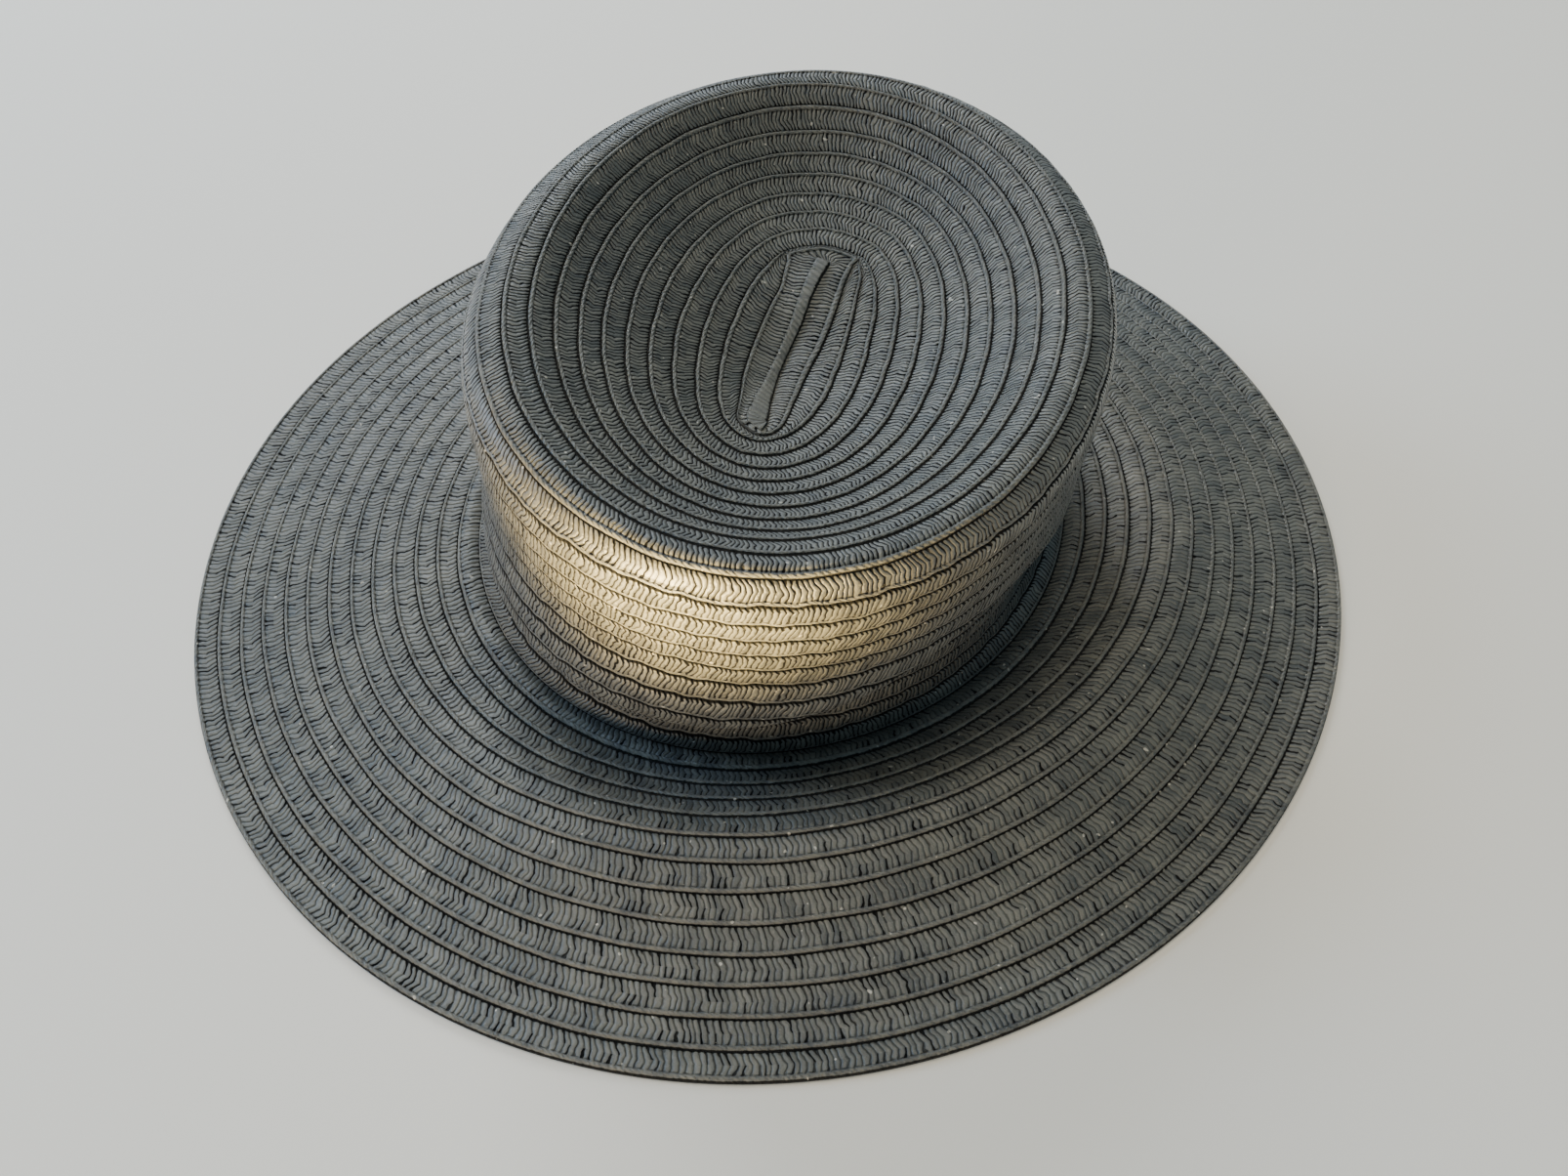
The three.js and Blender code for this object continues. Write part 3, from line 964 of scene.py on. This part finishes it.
@dataclass
class SewnShell:
    """A closed wall of sewn braid between two lines of the spiral."""

    name: str
    node: str
    slot: str
    first_line: int
    last_line: int
    first_row: float
    last_row: float
    steps: int
    section: BraidSection
    edge_section: BraidSection
    finish: PaperStraw
    form: HatForm = HatForm()
    spiral: BraidSpiral = BraidSpiral()
    start: StartStrips = StartStrips()

    MAP = "braid"
    # The inside has fewer lines across a row, and a plain step of this many millimetres.
    INNER_STOPS = (0.94, 0.06, 0.0)
    INNER_STEP = 0.35
    # The row that the two straight strips in the middle make.
    START_ROW = -2
    # The first row of the brim breaks upwards along the front and left of the foot: a turn, and mm.
    BREAK_ROW = 23
    BREAK = (
        (-90, 0.2), (-30, 0.3), (20, 0.9), (60, 1.2), (100, 1.3), (150, 1.6), (200, 1.6),
        (230, 0.6), (270, 0.2),
    )

    def section_of(self, row: int) -> BraidSection:
        """The cross-section of a row: the piece's first row may lie flatter than the rest."""
        return self.edge_section if row == self.first_line else self.section

    def columns(self) -> tuple[np.ndarray, np.ndarray, np.ndarray]:
        """The lines of vertices across the wall: out over its outer face and back inside.

        Returns:
            The braid row of each line, its place across that row, and whether it is inside.
        """
        rows = range(self.first_line, self.last_line)
        stops = {row: self.section_of(row).stops() for row in rows}
        if self.first_line == self.START_ROW:
            stops[self.START_ROW] = self.section.close_stops()
        outer = [(row, stop) for row in rows for stop in stops[row]] + [(self.last_line - 1, 1.0)]
        inner = [(self.last_line - 1, 1.0)]
        inner += [(row, stop) for row in reversed(rows) for stop in self.INNER_STOPS]
        every = outer + inner + outer[:1]
        inside = [False] * len(outer) + [True] * len(inner) + [False]
        owner, across = (np.array(part, float) for part in zip(*every))
        return owner, across, np.array(inside)

    def build(self) -> bpy.types.Object:
        """Makes the piece's mesh: one grid that wraps round the wall and round the hat.

        Returns:
            The finished object, with its place in its mesh.
        """
        owner, across, inside = self.columns()
        work = bmesh.new()
        bmesh.ops.create_grid(work, x_segments=len(owner) - 1, y_segments=self.steps, size=0.5)
        flat = np.array([vert.co[:2] for vert in work.verts]) + 0.5
        column = np.rint(flat[:, 0] * (len(owner) - 1)).astype(int)
        step = np.rint(flat[:, 1] * self.steps).astype(int)
        marks = self.spiral.start_turn + TURN * np.arange(self.steps + 1) / self.steps
        points = np.zeros((len(flat), 3))
        places = np.zeros((len(flat), 2))
        travelled = 0.0
        for row in range(self.first_line, self.last_line):
            mine = np.flatnonzero(owner[column] == row)
            low, high = self.spiral.line(row, marks), self.spiral.line(row + 1, marks)
            every, half = np.arange(len(marks)), np.full(len(marks), 0.5)
            middle = self.face_points(row, marks, low, high, every, half)[0]
            lengths = np.linalg.norm(np.diff(middle, axis=0), axis=1)
            reached = travelled + np.concatenate([[0.0], np.cumsum(lengths)])
            travelled = reached[-1]
            laid, used = self.lay_row(
                row, marks, low, high, step[mine], across[column[mine]], inside[column[mine]]
            )
            points[mine] = laid
            places[mine] = np.stack([reached[step[mine]], row + used], axis=1)
        self.lay_map(work, places)
        for vert, point in zip(work.verts, points * MM):
            vert.co = point
        bmesh.ops.remove_doubles(work, verts=work.verts, dist=WELD_M)
        bmesh.ops.dissolve_degenerate(work, edges=work.edges, dist=WELD_M)
        bmesh.ops.recalc_face_normals(work, faces=work.faces)
        return self.finish_mesh(work)

    def face_points(
        self,
        row: int,
        marks: np.ndarray,
        low: np.ndarray,
        high: np.ndarray,
        step: np.ndarray,
        across: np.ndarray,
    ) -> tuple[np.ndarray, np.ndarray, np.ndarray]:
        """Points of the hat's face in one braid row, without the braid's own relief.

        Args:
            row: the braid row.
            marks: the turn at each step round the hat.
            low: the hat's row number along the braid row's inner line, at each step.
            high: the same along its outer line.
            step: the step of each point.
            across: the place of each point across the braid row.

        Returns:
            The points, the directions out of the face, and the place across after clipping.
        """
        bearing = VIEW_TURN - marks[step]
        wanted = low[step] * (1 - across) + high[step] * across
        if row > self.START_ROW:
            hat_row = np.clip(wanted, self.first_row, self.last_row)
            used = np.clip((hat_row - low[step]) / np.maximum(high[step] - low[step], 1e-6), 0, 1)
            return self.form.surface(hat_row, bearing), self.form.outward(hat_row, bearing), used
        rim = self.form.surface(high[step], bearing)
        slit = self.start.slit(rim[:, 1], self.start.is_left(marks[step]))
        share = across[:, None]
        out = self.form.outward(high[step], bearing) * share
        out[:, 2] += 1 - across
        out /= np.linalg.norm(out, axis=1, keepdims=True)
        return slit * (1 - share) + rim * share, out, across

    def lay_row(
        self,
        row: int,
        marks: np.ndarray,
        low: np.ndarray,
        high: np.ndarray,
        step: np.ndarray,
        across: np.ndarray,
        inside: np.ndarray,
    ) -> tuple[np.ndarray, np.ndarray]:
        """Places one braid row's vertices with the braid's relief.

        Args:
            row: the braid row.
            marks: the turn at each step round the hat.
            low: the hat's row number along its inner line, at each step.
            high: the same along its outer line.
            step: the step of each vertex.
            across: the place of each vertex across the row.
            inside: whether each vertex lies on the wall's inner face.

        Returns:
            The points in millimetres, and each vertex's place across the row after clipping.
        """
        points, out, used = self.face_points(row, marks, low, high, step, across)
        relief = self.section_of(row).height(used, (high - low)[step])
        if row == self.BREAK_ROW:
            relief += np.interp(marks[step], *np.array(self.BREAK).T) * np.sin(math.pi * used)
        if row == self.START_ROW:
            left = self.start.is_left(marks[step])
            rim = self.form.surface(high[step], VIEW_TURN - marks[step])
            wide = np.linalg.norm(rim - self.start.slit(rim[:, 1], left), axis=1)
            used = np.where(left, self.start.folded(rim[:, 1], used, wide), np.maximum(used, 0.02))
            relief = self.section.height(used, wide / self.section.width)
        depth = np.where(inside, -self.form.wall + self.INNER_STEP * (0.5 - used), relief)
        points = points + out * depth[:, None]
        points[:, 2] = np.maximum(points[:, 2], 0.0)
        return points, used

    def lay_map(self, work: bmesh.types.BMesh, places: np.ndarray) -> None:
        """Writes the braid's own map to every face corner before the seams are welded.

        Args:
            work: the mesh while it is still one flat grid.
            places: millimetres along the braid and rows across, one pair per vertex.
        """
        layer = work.loops.layers.uv.new(self.MAP)
        for vert, place in zip(work.verts, places):
            for loop in vert.link_loops:
                loop[layer].uv = place

    def finish_mesh(self, work: bmesh.types.BMesh) -> bpy.types.Object:
        """Turns the working mesh into a dressed piece that rides on the hat.

        Args:
            work: the finished mesh, which is freed.

        Returns:
            The piece, in place of its solid.
        """
        for face in work.faces:
            face.smooth = True
        mesh = bpy.data.meshes.new(self.name)
        work.to_mesh(mesh)
        work.free()
        piece = bpy.data.objects.new(self.name, mesh)
        bpy.context.scene.collection.objects.link(piece)
        mesh.materials.append(self.finish.material())
        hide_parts(self.node)
        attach(piece, "root")
        return piece


@dataclass
class TipBraid(SewnShell):
    """The sunken tip, sewn tight from the two strips outwards: fine ribs and a round cord."""

    name: str = "tip_braid"
    node: str = "crown_tip"
    slot: str = "tip_straw"
    first_line: int = SewnShell.START_ROW
    last_line: int = 10
    first_row: float = 0.0
    last_row: float = 13.0
    steps: int = 430
    section: BraidSection = BraidSection(
        cord_height=0.34, cord_half=0.105, seam_depth=0.75, seam_in=0.03, seam_out=0.028
    )
    edge_section: BraidSection = section
    finish: PaperStraw = PaperStraw(
        "paper_straw_tip", PartToneWithPaintedLight.TIP, rib_mm=1.3, seam_in=0.03, seam_out=0.022, seed=1
    )


@dataclass
class SideBraid(SewnShell):
    """The steep side, with deep seams between its rows; the first lies flat over the crest."""

    name: str = "side_braid"
    node: str = "crown_side"
    slot: str = "side_straw"
    first_line: int = 10
    last_line: int = 23
    first_row: float = 11.0
    last_row: float = 25.0
    steps: int = 440
    section: BraidSection = BraidSection(
        step=0.35, pillow=0.4, cord_height=0.1, stitch_depth=0.05, seam_depth=1.0, seam_in=0.14
    )
    edge_section: BraidSection = TipBraid.section
    finish: PaperStraw = PaperStraw(
        "paper_straw_side", PartToneWithPaintedLight.SIDE, roughness=0.36, glaze=0.4, slant_out_mm=2.4,
        wall_row=10.5, seed=2,
    )


@dataclass
class BrimBraid(SewnShell):
    """The brim, pressed flat: broad ribs with few open slits and a low, wide cord."""

    name: str = "brim_braid"
    node: str = "brim"
    slot: str = "brim_straw"
    first_line: int = 22
    last_line: int = 36
    first_row: float = 25.0
    last_row: float = 38.0
    steps: int = 440
    section: BraidSection = BraidSection(
        cord_at=0.87, cord_half=0.12, cord_height=0.34, seam_depth=0.8, seam_in=0.03
    )
    edge_section: BraidSection = section
    finish: PaperStraw = PaperStraw(
        "paper_straw_brim", PartToneWithPaintedLight.BRIM, rib_mm=1.75, rib_bump_mm=0.5, hollow_shade_mix=0.3,
        groove_shade_mix=0.4, strand_shade_mix=0.15, slit_odds=(0.35, 1.0), seam_in=0.032, seam_out=0.03,
        seed=3,
    )


@dataclass(frozen=True)
class PhotoCamera:
    """A camera that stands where the hat was looked at from, its place in metres."""

    place: tuple[float, float, float] = (0.0790, -0.2651, 0.302)
    heading: tuple[float, float] = (-0.277, 0.961)
    pitch_deg: float = 51.3
    roll_deg: float = 0.6
    lens_mm: float = 27.03
    film_mm: float = 36.0

    def build(self) -> bpy.types.Object:
        """Makes the camera and gives it to the scene.

        Returns:
            The camera's object.
        """
        camera = bpy.data.cameras.new("photo_camera")
        camera.lens = self.lens_mm
        camera.sensor_width = self.film_mm
        camera.clip_start = 0.01
        down = math.radians(self.pitch_deg)
        level = Vector((self.heading[0], self.heading[1], 0.0)).normalized()
        ahead = level * math.cos(down) + Vector((0, 0, -math.sin(down)))
        right = ahead.cross(Vector((0, 0, 1))).normalized()
        up = right.cross(ahead)
        roll = math.radians(self.roll_deg)
        right, up = (
            right * math.cos(roll) + up * math.sin(roll),
            up * math.cos(roll) - right * math.sin(roll),
        )
        turn = Matrix((right, up, -ahead)).transposed().to_4x4()
        holder = bpy.data.objects.new("photo_camera", camera)
        holder.matrix_world = Matrix.Translation(self.place) @ turn
        bpy.context.scene.collection.objects.link(holder)
        bpy.context.scene.camera = holder
        return holder


Place = tuple[float, float, float]


@dataclass(frozen=True)
class SoftLamp:
    """A square lamp aimed at the crown, in metres and watts."""

    name: str
    place: Place
    size: float
    watts: float
    colour: str


@dataclass(frozen=True)
class Studio:
    """A plain pale floor, soft lamps and a patch of low sun on the front of the crown.

    Sizes and places are in metres. Each sun patch is its middle and its power in watts.
    """

    floor_size: float = 8.0
    floor_colour: str = "f3ede2"
    sky_colour: str = "c9ecff"
    sky_strength: float = 0.33
    aim: Place = (0.0, 0.0, 0.06)
    lamps: tuple[SoftLamp, ...] = (
        SoftLamp("window", (-2.2, -0.1, 1.2), 1.0, 38.0, "b4d6ff"),
        SoftLamp("back_window", (-1.2, 1.7, 1.3), 1.0, 38.0, "ecf5ff"),
        SoftLamp("ceiling", (-0.2, 0.3, 2.4), 1.2, 29.0, "ffeed0"),
        SoftLamp("low_sun", (-0.45, -1.75, 0.2), 0.36, 21.0, "ffe4c2"),
    )
    sun_place: Place = (-0.4, -1.85, 0.06)
    sun_colour: str = "ffdc90"
    patch_deg: float = 1.7
    patches: tuple[tuple[Place, float], ...] = (
        ((-0.034, -0.101, 0.092), 400.0),
        ((-0.012, -0.106, 0.087), 1300.0),
        ((0.008, -0.108, 0.085), 2400.0),
        ((0.031, -0.105, 0.085), 1700.0),
    )

    def build(self) -> None:
        """Lays the floor, the soft sky and the lamps."""
        self.floor()
        self.sky()
        for lamp in self.lamps:
            self.soft_light(lamp)
        for aim, watts in self.patches:
            self.sun_patch(aim, watts)

    def floor(self) -> None:
        """A pale floor that is not part of the hat: matt paint, so it takes only soft shadows."""
        work = bmesh.new()
        bmesh.ops.create_grid(work, x_segments=1, y_segments=1, size=self.floor_size / 2)
        mesh = bpy.data.meshes.new("floor")
        work.to_mesh(mesh)
        work.free()
        floor = bpy.data.objects.new("floor", mesh)
        bpy.context.scene.collection.objects.link(floor)
        paint = bpy.data.materials.new("pale_matt_floor")
        paint.use_nodes = True
        shader = paint.node_tree.nodes["Principled BSDF"]
        shader.inputs["Base Color"].default_value = linear(self.floor_colour)
        shader.inputs["Roughness"].default_value = 0.8
        mesh.materials.append(paint)

    def sky(self) -> None:
        """An even, slightly cool light from all round."""
        world = bpy.data.worlds.new("soft_sky")
        world.use_nodes = True
        back = world.node_tree.nodes["Background"]
        back.inputs["Color"].default_value = linear(self.sky_colour)
        back.inputs["Strength"].default_value = self.sky_strength
        bpy.context.scene.world = world

    def soft_light(self, lamp: SoftLamp) -> None:
        """Hangs one of the square lamps.

        Args:
            lamp: its sizes and its colour.
        """
        light = bpy.data.lights.new(lamp.name, "AREA")
        light.size = lamp.size
        light.energy = lamp.watts
        light.color = linear(lamp.colour)[:3]
        self.hang(light, lamp.place, self.aim)

    def sun_patch(self, aim: Place, watts: float) -> None:
        """Low warm light that only reaches the front of the crown.

        Args:
            aim: the middle of the patch, in metres.
            watts: its power.
        """
        light = bpy.data.lights.new("sun_patch", "SPOT")
        light.energy = watts
        light.color = linear(self.sun_colour)[:3]
        light.spot_size = math.radians(self.patch_deg)
        light.spot_blend = 1.0
        light.shadow_soft_size = 0.02
        self.hang(light, self.sun_place, aim)

    def hang(self, light: bpy.types.Light, place: Place, aim: Place) -> None:
        """Puts a lamp at a place and points it at its aim.

        Args:
            light: the lamp's own data.
            place: where it hangs, in metres.
            aim: what it points at, in metres.
        """
        holder = bpy.data.objects.new(light.name, light)
        turn = (Vector(aim) - Vector(place)).to_track_quat("-Z", "Y").to_matrix().to_4x4()
        holder.matrix_world = Matrix.Translation(place) @ turn
        bpy.context.scene.collection.objects.link(holder)


def main() -> None:
    """Builds the hat piece by piece and reports each one."""
    logging.basicConfig(level=logging.INFO, format="%(name)s: %(message)s")
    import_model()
    PhotoCamera().build()
    Studio().build()
    for shell in (TipBraid(), SideBraid(), BrimBraid()):
        piece = shell.build()
        LOG.info("%s: %d faces", piece.name, len(piece.data.polygons))


if __name__ == "__main__":
    main()
